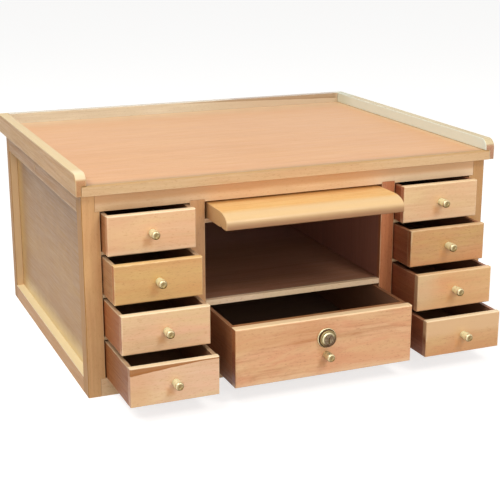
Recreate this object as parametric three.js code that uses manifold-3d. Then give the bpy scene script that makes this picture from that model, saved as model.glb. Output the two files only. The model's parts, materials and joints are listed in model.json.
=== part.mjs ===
// Bench-top jeweller's bench: a raised-lip work top on a frame-and-panel case, two banks of small
// drawers, a lockable wide drawer, an open cavity and a pull-out armrest board.
// Millimetres, +Z up, +Y to the back. The front face of the case stands at y = 0 inside the bench group.
import * as THREE from 'three';
import { mergeVertices } from 'three/addons/utils/BufferGeometryUtils.js';
import Module from 'manifold-3d';

const wasm = await Module();
wasm.setup();

// Case
const caseWidth = 544; // over the posts
const caseDepth = 428; // front face to back face
const caseHeight = 252; // floor to the underside of the work top
const postWidth = 21.8;
const frontPostDepth = 22;
const rearPostDepth = 18;
const railThickness = 16;
const frontTopRailHeight = 21.7;
const frontBottomRailHeight = 23;
const railLetIn = 5.8; // how far a front rail is let into each front post
const sideTopRailHeight = 25;
const sideBottomRailHeight = 21;
const sidePanelThickness = 5;
const sidePanelRecess = 10.7; // panel face behind the outer face of the posts
const grooveDepth = 5; // panel groove in posts and side rails
const backThickness = 6;
const backRabbet = 10; // width of the back panel's seat in each rear post
const backFloorGap = 3; // the back panel stops this far above the floor
const bottomThickness = 6;
const bottomSeat = 8; // width of the bottom panel's seat in the front rail

// Inner boards
const bankOpening = 111; // clear width of a bank of small drawers
const partitionThickness = 18.8;
const partitionLetIn = 2.8; // how far a partition's front edge is let up into the top rail
const dividerThickness = 4;
const dividerSetback = 0.6; // divider edge behind the front face
const shelfTop = 104.8; // floor of the open cavity
const shelfThickness = 6.8;
const housingDepth = 3; // boards are housed this deep in posts and partitions
const housingSetback = 14; // the housings stop this far behind the front face
const runnerWidth = 12;
const runnerThickness = 5;

// Work top
const topThickness = 12.3;
const frontOverhang = 10;
const sideOverhang = 8;
const rearOverhang = 6;
const lipThickness = 13;
const lipHeight = 14.7; // above the work top
const lipSeat = 6; // how far the top and its edging reach in under a lip
const lipCornerRadius = 12;
const edgingDepth = 8;
const edgingRadius = 2.5;

// Armrest board
const armrestThickness = 19.2;
const armrestTopGap = 2.2; // below the front top rail
const armrestSideGap = 3;
const armrestPull = 64; // nose ahead of the case front as it stands
const armrestProud = 24; // nose ahead of the case front when pushed home
const noseLength = 26; // rounded top of the nose, front to back
const noseDrop = 12; // and its height
const noseLowerRadius = 2;
const fingerGrooveStart = 9; // behind the nose
const fingerGrooveWidth = 12;
const fingerGrooveDepth = 3.6;

// Drawers
const leftPulls = [24.6, 46.6, 70.8, 99.2]; // how far each drawer stands open, top to bottom
const rightPulls = [22.3, 43.8, 64.8, 89.7];
const lockPull = 92;
const smallFrontThickness = 8;
const smallFrontRadius = 2; // rounded front edges
const lockFrontThickness = 12;
const lockFrontRadius = 2.6;
const smallSideGap = 1.4; // drawer front to post and to partition
const smallTopGap = 0.7;
const lockSideGap = 2.5;
const lockTopGap = 1.2;
const smallWall = 5;
const lockWall = 5;
const smallFloor = 4;
const lockFloor = 5;
const floorRaise = 5; // tray floor above the lower edges of the tray sides
const trayDrop = 1.2; // tray sides below the top of the front
const lockBacking = 9; // thickness of the inner board behind the lock drawer's front

// Brass knobs
const knobFootRadius = 4.6;
const knobFootLength = 3;
const knobFootChamfer = 0.9;
const knobWaistRadius = 3.3;
const knobWaist = 5.2; // where the waist is narrowest, ahead of the drawer front
const knobHeadRadius = 5.4;
const knobShoulder = 8.6; // where the head comes to its full radius
const knobBrow = 12.2; // where the head begins to round over to its face
const knobLength = 16;
const lockKnobHeight = 26.5; // above the lower edge of the lock drawer's front

// Lock
const lockHeight = 48; // above the lower edge of the lock drawer's front
const bezelRadius = 12;
const bezelThickness = 2.2;
const barrelRadius = 9.4;
const barrelLength = 7.4; // barrel ahead of the drawer front
const barrelTail = 3; // barrel behind the inner board
const barrelChamfer = 1;
const plugRadius = 5.8;
const keywayWidth = 1.8;
const keywayHeight = 7;
const keywayDepth = 5;
const keywayDrop = 2; // middle of the keyway below the middle of the plug
const camWidth = 10;
const camThickness = 2.5;
const camBolt = 4; // how far the cam enters the shelf when locked
const camGap = 1.5; // room round the cam in its mortise

// Clearances
const glue = 0.1; // glue line between joined faces
const slideGap = 0.3; // under a drawer or the armrest
const turnGap = 0.3; // round the lock plug and round the barrel
const stopGap = 0.5; // between a pushed-home drawer and the back panel
const past = 2; // how far a cutter runs past the face it opens

// Facets
const roundSegments = 24;
const arcSegments = 6;
const domeSegments = 5;

// Levels and lines that several pieces share
const halfWidth = caseWidth / 2;
const caseTop = caseHeight - glue;
const topRailUnderside = caseHeight - frontTopRailHeight;
const postInner = halfWidth - postWidth;
const panelOuter = halfWidth - sidePanelRecess;
const panelInner = panelOuter - sidePanelThickness;
const partitionOuter = postInner - bankOpening; // face towards the drawer bank
const partitionInner = partitionOuter - partitionThickness; // face towards the cavity
const bottomUnderside = frontBottomRailHeight - bottomThickness;
const backFace = caseDepth - backThickness; // inner face of the back panel
const shelfUnderside = shelfTop - shelfThickness;
const topSurface = caseHeight + topThickness;
const lipTop = topSurface + lipHeight;
const topOuter = halfWidth + sideOverhang;
const topRear = caseDepth + rearOverhang;
const lipInner = topOuter - lipThickness;
const seatOuter = lipInner + lipSeat; // how far out the top and edging reach under the side lips
const armrestUnderside = topRailUnderside - armrestTopGap - armrestThickness;
const drawersPerBank = leftPulls.length;
const drawerLength = backFace - stopGap;
const bankHeight = topRailUnderside - frontBottomRailHeight;
const levelHeight = (bankHeight - (drawersPerBank - 1) * dividerThickness) / drawersPerBank;
const lockMount = lockFrontThickness + lockBacking; // front and inner board, which the lock goes through
const lockTail = lockMount + barrelTail; // rear end of the barrel behind the drawer front
const camTail = lockTail + turnGap; // front face of the cam behind the drawer front
const camReach = shelfUnderside + camBolt - frontBottomRailHeight - slideGap - lockHeight;

// Finishes
const finishes = {
  caseWood: new THREE.MeshStandardMaterial({ color: 0xd2a673, roughness: 0.5, metalness: 0 }),
  lipWood: new THREE.MeshStandardMaterial({ color: 0xe6cb98, roughness: 0.5, metalness: 0 }),
  topWood: new THREE.MeshStandardMaterial({ color: 0xecb98f, roughness: 0.55, metalness: 0 }),
  armrestWood: new THREE.MeshStandardMaterial({ color: 0xf2c47b, roughness: 0.45, metalness: 0 }),
  frontWood: new THREE.MeshStandardMaterial({ color: 0xe2b486, roughness: 0.5, metalness: 0 }),
  trayWood: new THREE.MeshStandardMaterial({ color: 0x8a5638, roughness: 0.65, metalness: 0 }),
  brass: new THREE.MeshStandardMaterial({ color: 0xd9b45c, roughness: 0.25, metalness: 1 }),
};

// A closed solid from a geometry, with its shared corners merged, for cutting and joining.
function toSolid(geometry) {
  const bare = geometry.clone();
  bare.deleteAttribute('normal');
  bare.deleteAttribute('uv');
  const merged = mergeVertices(bare);
  const corners = merged.index.array;
  const triangles = [];
  for (let i = 0; i < corners.length; i += 3) {
    const [a, b, c] = [corners[i], corners[i + 1], corners[i + 2]];
    if (a !== b && b !== c && c !== a) triangles.push(a, b, c);
  }
  return new wasm.Manifold(new wasm.Mesh({
    numProp: 3,
    vertProperties: new Float32Array(merged.attributes.position.array),
    triVerts: new Uint32Array(triangles),
  }));
}

function toGeometry(solid) {
  const { vertProperties, triVerts } = solid.getMesh();
  const geometry = new THREE.BufferGeometry();
  geometry.setAttribute('position', new THREE.BufferAttribute(vertProperties, 3));
  geometry.setIndex(new THREE.BufferAttribute(triVerts, 1));
  geometry.computeVertexNormals();
  return geometry;
}

// A mirrored pair of pieces is drawn once: side is -1 on the left and 1 on the right.
function span(side, a, b) {
  return [Math.min(side * a, side * b), Math.max(side * a, side * b)];
}

function block([x0, x1], [y0, y1], [z0, z1]) {
  const box = new THREE.BoxGeometry(x1 - x0, y1 - y0, z1 - z0);
  box.translate((x0 + x1) / 2, (y0 + y1) / 2, (z0 + z1) / 2);
  return toSolid(box);
}

function outline(points) {
  return new THREE.Shape(points.map(([a, b]) => new THREE.Vector2(a, b)));
}

function extrusion(shape, length) {
  return new THREE.ExtrudeGeometry(shape, { depth: length, bevelEnabled: false, curveSegments: arcSegments });
}

// A section drawn in y and z, run along x.
function alongX(shape, [x0, x1]) {
  const turn = new THREE.Matrix4().makeBasis(
    new THREE.Vector3(0, 1, 0),
    new THREE.Vector3(0, 0, 1),
    new THREE.Vector3(1, 0, 0),
  );
  return toSolid(extrusion(shape, x1 - x0).applyMatrix4(turn).translate(x0, 0, 0));
}

// A section drawn in x and z, run along y.
function alongY(shape, [y0, y1]) {
  return toSolid(extrusion(shape, y1 - y0).rotateX(Math.PI / 2).translate(0, y1, 0));
}

// A plan drawn in x and y, run up z.
function alongZ(shape, [z0, z1]) {
  return toSolid(extrusion(shape, z1 - z0).translate(0, 0, z0));
}

// A turned piece on the y axis. Its profile gives radius and distance ahead of a drawer front.
function turned(profile) {
  const points = profile.map(([radius, ahead]) => new THREE.Vector2(radius, ahead));
  return toSolid(new THREE.LatheGeometry(points, roundSegments).rotateX(Math.PI));
}

function piece(name, solid, finish) {
  const mesh = new THREE.Mesh(toGeometry(solid), finish);
  mesh.name = name;
  return mesh;
}

// Height of the underside of the board that carries a drawer, counted from the top of the bank.
function levelFloor(level) {
  return topRailUnderside - (level + 1) * levelHeight - level * dividerThickness;
}

// Housings that the dividers of a bank slide into, cut from x0 to x1.
function dividerHousings(xRange) {
  const cuts = [];
  for (let level = 0; level < drawersPerBank - 1; level += 1) {
    const top = levelFloor(level);
    cuts.push(block(xRange, [housingSetback, caseDepth], [top - dividerThickness - glue, top + glue]));
  }
  return cuts;
}

function cutAll(solid, cuts) {
  return cuts.reduce((rest, cut) => rest.subtract(cut), solid);
}

// Front post: grooved behind for the side panel, notched for both front rails.
function frontPost(side) {
  const section = block(span(side, postInner, halfWidth), [0, frontPostDepth], [0, caseTop]);
  const groove = block(
    span(side, panelInner - glue, panelOuter + glue),
    [frontPostDepth - grooveDepth, frontPostDepth + past],
    [-past, caseHeight + past],
  );
  const notchWidth = span(side, postInner - past, postInner + railLetIn);
  const notchDepth = [-past, railThickness + glue];
  const topNotch = block(notchWidth, notchDepth, [topRailUnderside - glue, caseHeight + past]);
  const bottomNotch = block(notchWidth, notchDepth, [-past, frontBottomRailHeight + glue]);
  const housings = dividerHousings(span(side, postInner - past, postInner + housingDepth));
  return cutAll(section, [groove, topNotch, bottomNotch, ...housings]);
}

// Rear post: grooved in front for the side panel, rabbeted behind for the back panel.
function rearPost(side) {
  const frontFace = caseDepth - rearPostDepth;
  const section = block(span(side, postInner, halfWidth), [frontFace, caseDepth], [0, caseTop]);
  const groove = block(
    span(side, panelInner - glue, panelOuter + glue),
    [frontFace - past, frontFace + grooveDepth],
    [-past, caseHeight + past],
  );
  const rabbet = block(
    span(side, postInner - past, postInner + backRabbet),
    [backFace - glue, caseDepth + past],
    [-past, caseHeight + past],
  );
  const housings = dividerHousings(span(side, postInner - past, postInner + housingDepth));
  return cutAll(section, [groove, rabbet, ...housings]);
}

const sideRailRun = [frontPostDepth + glue, caseDepth - rearPostDepth - glue];
const tenonRun = [frontPostDepth - grooveDepth + glue, caseDepth - rearPostDepth + grooveDepth - glue];

// Side top rail: grooved below for the panel, with a stub tenon at each end.
function sideTopRail(side) {
  const underside = caseHeight - sideTopRailHeight;
  const rail = block(span(side, postInner, halfWidth), sideRailRun, [underside, caseTop]);
  const groove = block(
    span(side, panelInner - glue, panelOuter + glue),
    [-past, caseDepth + past],
    [underside - past, underside + grooveDepth],
  );
  const tenon = block(span(side, panelInner, panelOuter), tenonRun, [underside + grooveDepth, caseTop]);
  return rail.subtract(groove).add(tenon);
}

// Side bottom rail: grooved above for the panel, with an inner ledge for the bottom panel.
function sideBottomRail(side) {
  const grooveFloor = sideBottomRailHeight - grooveDepth;
  const rail = block(span(side, postInner, halfWidth), sideRailRun, [0, sideBottomRailHeight]);
  const groove = block(
    span(side, panelInner - glue, panelOuter + glue),
    [-past, caseDepth + past],
    [grooveFloor, sideBottomRailHeight + past],
  );
  const ledge = block(
    span(side, postInner - past, panelInner),
    [-past, caseDepth + past],
    [bottomUnderside - glue, sideBottomRailHeight + past],
  );
  const tenon = block(span(side, panelInner, panelOuter), tenonRun, [0, grooveFloor]);
  return cutAll(rail, [groove, ledge]).add(tenon);
}

function sidePanel(side) {
  return block(
    span(side, panelInner, panelOuter),
    tenonRun,
    [
      sideBottomRailHeight - grooveDepth + glue,
      caseHeight - sideTopRailHeight + grooveDepth - glue,
    ],
  );
}

const frontRailHalf = postInner + railLetIn - glue;

// Front top rail: its ends fill the post notches, and the partitions are let up into it.
function frontTopRail() {
  const rail = block([-frontRailHalf, frontRailHalf], [0, railThickness], [topRailUnderside, caseTop]);
  const lets = [-1, 1].map((side) => block(
    span(side, partitionInner - glue, partitionOuter + glue),
    [-past, railThickness + past],
    [topRailUnderside - past, topRailUnderside + partitionLetIn],
  ));
  return cutAll(rail, lets);
}

// Front bottom rail: rabbeted behind as a seat for the bottom panel.
function frontBottomRail() {
  const section = outline([
    [0, 0],
    [railThickness, 0],
    [railThickness, bottomUnderside - glue],
    [railThickness - bottomSeat, bottomUnderside - glue],
    [railThickness - bottomSeat, frontBottomRailHeight],
    [0, frontBottomRailHeight],
  ]);
  return alongX(section, [-frontRailHalf, frontRailHalf]);
}

function bottomPanel() {
  const frontEdge = railThickness - bottomSeat + glue;
  const rearEdge = backFace - glue;
  const narrow = postInner - glue;
  const wide = panelInner - glue;
  const [wideFront, wideRear] = sideRailRun;
  const plan = outline([
    [-narrow, frontEdge],
    [narrow, frontEdge],
    [narrow, wideFront],
    [wide, wideFront],
    [wide, wideRear],
    [narrow, wideRear],
    [narrow, rearEdge],
    [-narrow, rearEdge],
    [-narrow, wideRear],
    [-wide, wideRear],
    [-wide, wideFront],
    [-narrow, wideFront],
  ]);
  return alongZ(plan, [bottomUnderside, frontBottomRailHeight]);
}

function backPanel() {
  const half = postInner + backRabbet - glue;
  return block([-half, half], [backFace, caseDepth], [backFloorGap, caseTop]);
}

// Partition: its front edge is a stile of the face frame, and it steps up behind the top rail.
function partition(side) {
  const stileTop = topRailUnderside + partitionLetIn - glue;
  const foot = frontBottomRailHeight + glue;
  const profile = outline([
    [0, foot],
    [backFace - glue, foot],
    [backFace - glue, caseTop],
    [railThickness + glue, caseTop],
    [railThickness + glue, stileTop],
    [0, stileTop],
  ]);
  const board = alongX(profile, span(side, partitionInner, partitionOuter));
  const shelfHousing = block(
    span(side, partitionInner - past, partitionInner + housingDepth),
    [housingSetback, caseDepth],
    [shelfUnderside - glue, shelfTop + glue],
  );
  const housings = dividerHousings(span(side, partitionOuter - housingDepth, partitionOuter + past));
  return cutAll(board, [shelfHousing, ...housings]);
}

// Plan of a board that is housed on both edges: full width behind, cut back where the housings stop.
function housedPlan([x0, x1], frontEdge) {
  const reach = housingDepth - glue;
  const step = housingSetback + glue;
  const rearEdge = backFace - glue;
  return outline([
    [x0 + glue, frontEdge],
    [x1 - glue, frontEdge],
    [x1 - glue, step],
    [x1 + reach, step],
    [x1 + reach, rearEdge],
    [x0 - reach, rearEdge],
    [x0 - reach, step],
    [x0 + glue, step],
  ]);
}

function divider(side, level) {
  const top = levelFloor(level);
  const plan = housedPlan(span(side, partitionOuter, postInner), dividerSetback);
  return alongZ(plan, [top - dividerThickness, top]);
}

// Cavity shelf: the cam of the lock swings up into a mortise in its underside.
function cavityShelf() {
  const board = alongZ(housedPlan([-partitionInner, partitionInner], 0), [shelfUnderside, shelfTop]);
  const axisToShelf = camReach - camBolt;
  const tipRadius = Math.hypot(camReach, camWidth / 2);
  const swing = Math.sqrt(tipRadius ** 2 - axisToShelf ** 2);
  const mortise = block(
    [-camWidth / 2 - camGap, swing + camGap],
    [camTail - camGap, camTail + camThickness + camGap],
    [shelfUnderside - past, shelfUnderside + camBolt + camGap],
  );
  return board.subtract(mortise);
}

function armrestRunner(side) {
  const top = armrestUnderside - slideGap;
  return block(
    span(side, partitionInner - glue - runnerWidth, partitionInner - glue),
    [dividerSetback, backFace - glue],
    [top - runnerThickness, top],
  );
}

function workTop() {
  const half = seatOuter - glue;
  return block(
    [-half, half],
    [edgingDepth - frontOverhang + glue, topRear - lipThickness + lipSeat - glue],
    [caseHeight, topSurface],
  );
}

// Front edging: a strip with its upper front corner rounded over.
function frontEdging() {
  const half = seatOuter - glue;
  const front = -frontOverhang;
  const section = new THREE.Shape();
  section.moveTo(front, caseHeight);
  section.lineTo(front + edgingDepth, caseHeight);
  section.lineTo(front + edgingDepth, topSurface);
  section.lineTo(front + edgingRadius, topSurface);
  section.absarc(front + edgingRadius, topSurface - edgingRadius, edgingRadius, Math.PI / 2, Math.PI, false);
  section.closePath();
  return alongX(section, [-half, half]);
}

// Side lip: rounded at its upper front corner, rabbeted below for the top and its edging.
function sideLip(side) {
  const front = -frontOverhang;
  const bend = lipCornerRadius;
  const profile = new THREE.Shape();
  profile.moveTo(front, caseHeight);
  profile.lineTo(topRear, caseHeight);
  profile.lineTo(topRear, lipTop);
  profile.lineTo(front + bend, lipTop);
  profile.absarc(front + bend, lipTop - bend, bend, Math.PI / 2, Math.PI, false);
  profile.closePath();
  const lip = alongX(profile, span(side, lipInner, topOuter));
  const rabbet = block(
    span(side, lipInner - past, seatOuter),
    [front - past, topRear + past],
    [caseHeight - past, topSurface + glue],
  );
  return lip.subtract(rabbet);
}

// Rear lip: fits between the side lips, and its foot fills the ends of their rabbets.
function rearLip() {
  const inner = topRear - lipThickness;
  const foot = block(
    [glue - seatOuter, seatOuter - glue],
    [inner + lipSeat, topRear],
    [caseHeight, topSurface],
  );
  const upright = block(
    [glue - lipInner, lipInner - glue],
    [inner, topRear],
    [topSurface + glue, lipTop],
  );
  const joint = block(
    [glue - lipInner, lipInner - glue],
    [inner + lipSeat, topRear],
    [topSurface - past, topSurface + past],
  );
  return foot.add(upright).add(joint);
}

// Armrest: one board with an elliptical nose and a finger groove under it.
function armrestBoard() {
  const front = -armrestPull;
  const rear = front + armrestProud + backFace - stopGap;
  const low = armrestUnderside;
  const high = low + armrestThickness;
  const grooveFront = front + fingerGrooveStart;
  const grooveRear = grooveFront + fingerGrooveWidth;
  const section = new THREE.Shape();
  section.moveTo(rear, high);
  section.lineTo(front + noseLength, high);
  section.absellipse(
    front + noseLength, high - noseDrop, noseLength, noseDrop, Math.PI / 2, Math.PI, false, 0,
  );
  section.lineTo(front, low + noseLowerRadius);
  section.absarc(
    front + noseLowerRadius, low + noseLowerRadius, noseLowerRadius, Math.PI, Math.PI * 1.5, false,
  );
  section.lineTo(grooveFront, low);
  section.quadraticCurveTo(
    grooveRear - fingerGrooveDepth, low, grooveRear - fingerGrooveDepth / 2, low + fingerGrooveDepth,
  );
  section.lineTo(grooveRear, low + fingerGrooveDepth);
  section.lineTo(grooveRear, low);
  section.lineTo(rear, low);
  section.closePath();
  const half = partitionInner - armrestSideGap;
  return alongX(section, [-half, half]);
}

// Drawer front with all four front edges rounded over. Its lower edge is at z = 0, its face at y = 0.
function drawerFront(width, height, thickness, radius) {
  const shape = outline([
    [-width / 2, 0],
    [width / 2, 0],
    [width / 2, height],
    [-width / 2, height],
  ]);
  const board = new THREE.ExtrudeGeometry(shape, {
    depth: thickness,
    bevelThickness: radius,
    bevelSize: radius,
    bevelOffset: -radius,
    bevelSegments: arcSegments,
  });
  const rounded = toSolid(board.rotateX(Math.PI / 2).translate(0, thickness + radius, 0));
  const trim = block(
    [-width, width],
    [thickness, thickness + 2 * radius + past],
    [-past, height + past],
  );
  return rounded.subtract(trim);
}

// Drawer tray: sides and back with a floor set in above their lower edges. The drawer front closes it.
function drawerTray(width, height, front, wall, floor) {
  const half = width / 2;
  const rear = drawerLength;
  const section = outline([
    [-half, 0],
    [wall - half, 0],
    [wall - half, floorRaise],
    [half - wall, floorRaise],
    [half - wall, 0],
    [half, 0],
    [half, height],
    [half - wall, height],
    [half - wall, floorRaise + floor],
    [wall - half, floorRaise + floor],
    [wall - half, height],
    [-half, height],
  ]);
  const back = block([-half, half], [rear - wall, rear], [floorRaise, height]);
  return alongY(section, [front, rear]).add(back);
}

// Inner board of the lock drawer's front: it fits between the tray sides, on the tray floor.
function innerBoard(width, height) {
  const half = width / 2 - lockWall - glue;
  return block(
    [-half, half],
    [lockFrontThickness - past, lockMount],
    [floorRaise + lockFloor + glue, height],
  );
}

// Turned knob: a chamfered foot, a waist and a head with a low domed face.
function knob() {
  const profile = [
    [0, glue],
    [knobFootRadius, glue],
    [knobFootRadius, knobFootLength - knobFootChamfer],
    [knobFootRadius - knobFootChamfer, knobFootLength],
    [knobWaistRadius, knobWaist],
  ];
  const swell = knobHeadRadius - knobWaistRadius;
  for (let step = 1; step <= domeSegments; step += 1) {
    const angle = (Math.PI / 2) * (step / domeSegments);
    const behind = (knobShoulder - knobWaist) * Math.cos(angle);
    profile.push([knobWaistRadius + swell * Math.sin(angle), knobShoulder - behind]);
  }
  for (let step = 0; step < domeSegments; step += 1) {
    const angle = (Math.PI / 2) * (step / domeSegments);
    const ahead = (knobLength - knobBrow) * Math.sin(angle);
    profile.push([knobHeadRadius * Math.cos(angle), knobBrow + ahead]);
  }
  profile.push([0, knobLength]);
  return turned(profile);
}

// Lock body: a bezel on the drawer front and a barrel through it, bored for the plug.
function lockBody() {
  const bore = plugRadius + turnGap;
  return turned([
    [bore, -lockTail],
    [barrelRadius, -lockTail],
    [barrelRadius, glue],
    [bezelRadius, glue],
    [bezelRadius, bezelThickness / 2],
    [bezelRadius - bezelThickness / 2, bezelThickness],
    [barrelRadius, bezelThickness],
    [barrelRadius, barrelLength - barrelChamfer],
    [barrelRadius - barrelChamfer, barrelLength],
    [bore, barrelLength],
    [bore, -lockTail],
  ]);
}

// Lock plug: a keyway in its face and a cam on its tail, shown unlocked with the cam lying sideways.
function lockPlug() {
  const camRear = camTail + camThickness;
  const plug = turned([
    [0, -camRear],
    [plugRadius, -camRear],
    [plugRadius, barrelLength],
    [0, barrelLength],
  ]);
  const end = camWidth / 2;
  const plate = new THREE.Shape();
  plate.moveTo(0, -end);
  plate.lineTo(camReach, -end);
  plate.lineTo(camReach, end);
  plate.lineTo(0, end);
  plate.absarc(0, 0, end, Math.PI / 2, Math.PI * 1.5, false);
  const cam = alongY(plate, [camTail, camRear]);
  const keyway = block(
    [-keywayWidth / 2, keywayWidth / 2],
    [-barrelLength - past, keywayDepth - barrelLength],
    [-keywayDrop - keywayHeight / 2, keywayHeight / 2 - keywayDrop],
  );
  return plug.add(cam).subtract(keyway);
}

// Assembly
const bench = new THREE.Group();
const sides = [['left', -1], ['right', 1]];

for (const [word, side] of sides) {
  bench.add(
    piece(`${word}_front_post`, frontPost(side), finishes.caseWood),
    piece(`${word}_rear_post`, rearPost(side), finishes.caseWood),
    piece(`${word}_side_top_rail`, sideTopRail(side), finishes.caseWood),
    piece(`${word}_side_bottom_rail`, sideBottomRail(side), finishes.caseWood),
    piece(`${word}_side_panel`, sidePanel(side), finishes.caseWood),
    piece(`${word}_partition`, partition(side), finishes.caseWood),
    piece(`${word}_armrest_runner`, armrestRunner(side), finishes.caseWood),
    piece(`${word}_lip`, sideLip(side), finishes.lipWood),
  );
  for (let level = 0; level < drawersPerBank - 1; level += 1) {
    bench.add(piece(`${word}_divider_${level + 1}`, divider(side, level), finishes.caseWood));
  }
}

bench.add(
  piece('front_top_rail', frontTopRail(), finishes.caseWood),
  piece('front_bottom_rail', frontBottomRail(), finishes.caseWood),
  piece('bottom_panel', bottomPanel(), finishes.caseWood),
  piece('back_panel', backPanel(), finishes.caseWood),
  piece('cavity_shelf', cavityShelf(), finishes.caseWood),
  piece('work_top', workTop(), finishes.topWood),
  piece('front_edging', frontEdging(), finishes.lipWood),
  piece('rear_lip', rearLip(), finishes.lipWood),
  piece('armrest_board', armrestBoard(), finishes.armrestWood),
);

// Small drawers, the same in both banks, each in its own group at its own pull.
const smallWidth = bankOpening - 2 * smallSideGap;
const smallHeight = levelHeight - slideGap - smallTopGap;
const smallTrayHeight = smallHeight - trayDrop;
const smallTrayFront = smallFrontThickness + glue;
const bankMiddle = (postInner + partitionOuter) / 2;
const pulls = { left: leftPulls, right: rightPulls };

for (const [word, side] of sides) {
  pulls[word].forEach((pull, level) => {
    const name = `${word}_drawer_${level + 1}`;
    const handle = piece(`${name}_knob`, knob(), finishes.brass);
    handle.position.z = smallHeight / 2;
    const drawer = new THREE.Group();
    drawer.position.set(side * bankMiddle, -pull, levelFloor(level) + slideGap);
    drawer.add(
      piece(
        `${name}_front`,
        drawerFront(smallWidth, smallHeight, smallFrontThickness, smallFrontRadius),
        finishes.frontWood,
      ),
      piece(
        `${name}_tray`,
        drawerTray(smallWidth, smallTrayHeight, smallTrayFront, smallWall, smallFloor),
        finishes.trayWood,
      ),
      handle,
    );
    bench.add(drawer);
  });
}

// Lock drawer
const lockWidth = 2 * (partitionInner - lockSideGap);
const lockFrontHeight = shelfUnderside - frontBottomRailHeight - slideGap - lockTopGap;
const lockTrayHeight = lockFrontHeight - trayDrop;
const lockTrayFront = lockFrontThickness + glue;
const lockHole = turned([
  [0, -lockMount - past],
  [barrelRadius + turnGap, -lockMount - past],
  [barrelRadius + turnGap, past],
  [0, past],
]).translate([0, 0, lockHeight]);

const lockFront = drawerFront(lockWidth, lockFrontHeight, lockFrontThickness, lockFrontRadius)
  .add(innerBoard(lockWidth, lockTrayHeight))
  .subtract(lockHole);

const lockDrawer = new THREE.Group();
lockDrawer.position.set(0, -lockPull, frontBottomRailHeight + slideGap);
const lockKnob = piece('lock_drawer_knob', knob(), finishes.brass);
lockKnob.position.z = lockKnobHeight;
const body = piece('lock_body', lockBody(), finishes.brass);
body.position.z = lockHeight;
const plug = piece('lock_plug', lockPlug(), finishes.brass);
plug.position.z = lockHeight;
lockDrawer.add(
  piece('lock_drawer_front', lockFront, finishes.frontWood),
  piece(
    'lock_drawer_tray',
    drawerTray(lockWidth, lockTrayHeight, lockTrayFront, lockWall, lockFloor),
    finishes.trayWood,
  ),
  lockKnob,
  body,
  plug,
);
bench.add(lockDrawer);

// The origin is on the floor under the middle of the bench with its drawers as they stand.
const frontReach = Math.max(...leftPulls, ...rightPulls, lockPull) + knobLength;
bench.position.y = (frontReach - topRear) / 2;

export default new THREE.Group().add(bench);
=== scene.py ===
import json
import math

import bmesh
import bpy
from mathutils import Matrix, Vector

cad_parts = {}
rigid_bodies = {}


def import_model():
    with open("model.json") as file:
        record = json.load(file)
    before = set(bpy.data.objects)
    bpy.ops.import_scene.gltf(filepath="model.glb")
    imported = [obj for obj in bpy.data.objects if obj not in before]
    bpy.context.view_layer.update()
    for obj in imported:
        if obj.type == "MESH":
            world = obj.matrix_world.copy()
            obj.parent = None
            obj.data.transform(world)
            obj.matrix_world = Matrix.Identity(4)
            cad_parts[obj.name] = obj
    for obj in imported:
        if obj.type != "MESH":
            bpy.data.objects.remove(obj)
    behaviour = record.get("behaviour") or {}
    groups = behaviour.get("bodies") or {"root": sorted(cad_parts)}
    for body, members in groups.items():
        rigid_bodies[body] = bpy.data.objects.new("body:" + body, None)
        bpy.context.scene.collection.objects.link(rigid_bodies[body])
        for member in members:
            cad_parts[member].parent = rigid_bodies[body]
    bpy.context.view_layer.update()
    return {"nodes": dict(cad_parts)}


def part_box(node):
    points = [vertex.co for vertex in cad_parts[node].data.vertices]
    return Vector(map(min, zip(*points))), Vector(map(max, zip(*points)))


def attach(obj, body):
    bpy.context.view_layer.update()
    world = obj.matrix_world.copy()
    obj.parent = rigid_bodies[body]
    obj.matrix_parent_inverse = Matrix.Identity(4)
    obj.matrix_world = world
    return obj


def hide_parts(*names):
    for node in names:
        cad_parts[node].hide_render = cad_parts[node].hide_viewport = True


for leftover in list(bpy.data.objects):  # start from an empty scene
    bpy.data.objects.remove(leftover)

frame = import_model()
nodes = frame["nodes"]
print("frame loaded:", len(nodes), "nodes")

mm = 0.001
banks = {"left": -1, "right": 1}  # the sides of the case and their directions along X
dividers = (1, 2, 3)  # those of each bank, from the top


# Stage: camera, studio light and floor

view = {"place": (-0.59763, -1.45279, 0.57134), "tilt": 73.75, "turn": -22.51, "lens": 85.17, "sensor": 36.0}

lens = bpy.data.cameras.new("viewLens")
lens.lens = view["lens"]
lens.sensor_width = view["sensor"]
lens.sensor_fit = "HORIZONTAL"
camera = bpy.data.objects.new("viewCamera", lens)
camera.location = view["place"]
camera.rotation_euler = (math.radians(view["tilt"]), 0.0, math.radians(view["turn"]))
bpy.context.scene.collection.objects.link(camera)
bpy.context.scene.camera = camera
bpy.context.scene.view_settings.view_transform = "Standard"

lamps = {
    "keyLamp": {
        "place": (0.75, -1.75, 1.9), "aim": (0.0, -0.15, 0.12),
        "size": 0.8, "watts": 16.5, "tint": (1.0, 0.97, 0.92),
    },
    "frontLamp": {
        "place": (0.1, -2.6, 0.7), "aim": (0.0, -0.2, 0.12),
        "size": 1.6, "watts": 19.0, "tint": (1.0, 0.98, 0.95),
    },
    "overheadLamp": {
        "place": (-1.15, -0.3, 1.95), "aim": (0.0, -0.1, 0.15),
        "size": 1.5, "watts": 28.0, "tint": (1.0, 0.98, 0.95),
    },
}
sky = {"fill": 0.36, "fillTint": (1.0, 0.98, 0.95, 1.0), "shown": 1.0}
ground = {"size": 14.0, "albedo": 0.6, "lift": 0.72}


def addLamp(name, lamp):
    data = bpy.data.lights.new(name, "AREA")
    data.shape = "DISK"
    data.size = lamp["size"]
    data.energy = lamp["watts"]
    data.color = lamp["tint"]
    made = bpy.data.objects.new(name, data)
    made.location = lamp["place"]
    aim = Vector(lamp["aim"]) - Vector(lamp["place"])
    made.rotation_euler = aim.to_track_quat("-Z", "Y").to_euler()
    bpy.context.scene.collection.objects.link(made)


for lampName, lamp in lamps.items():
    addLamp(lampName, lamp)


# Short ways to place and wire nodes

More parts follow.
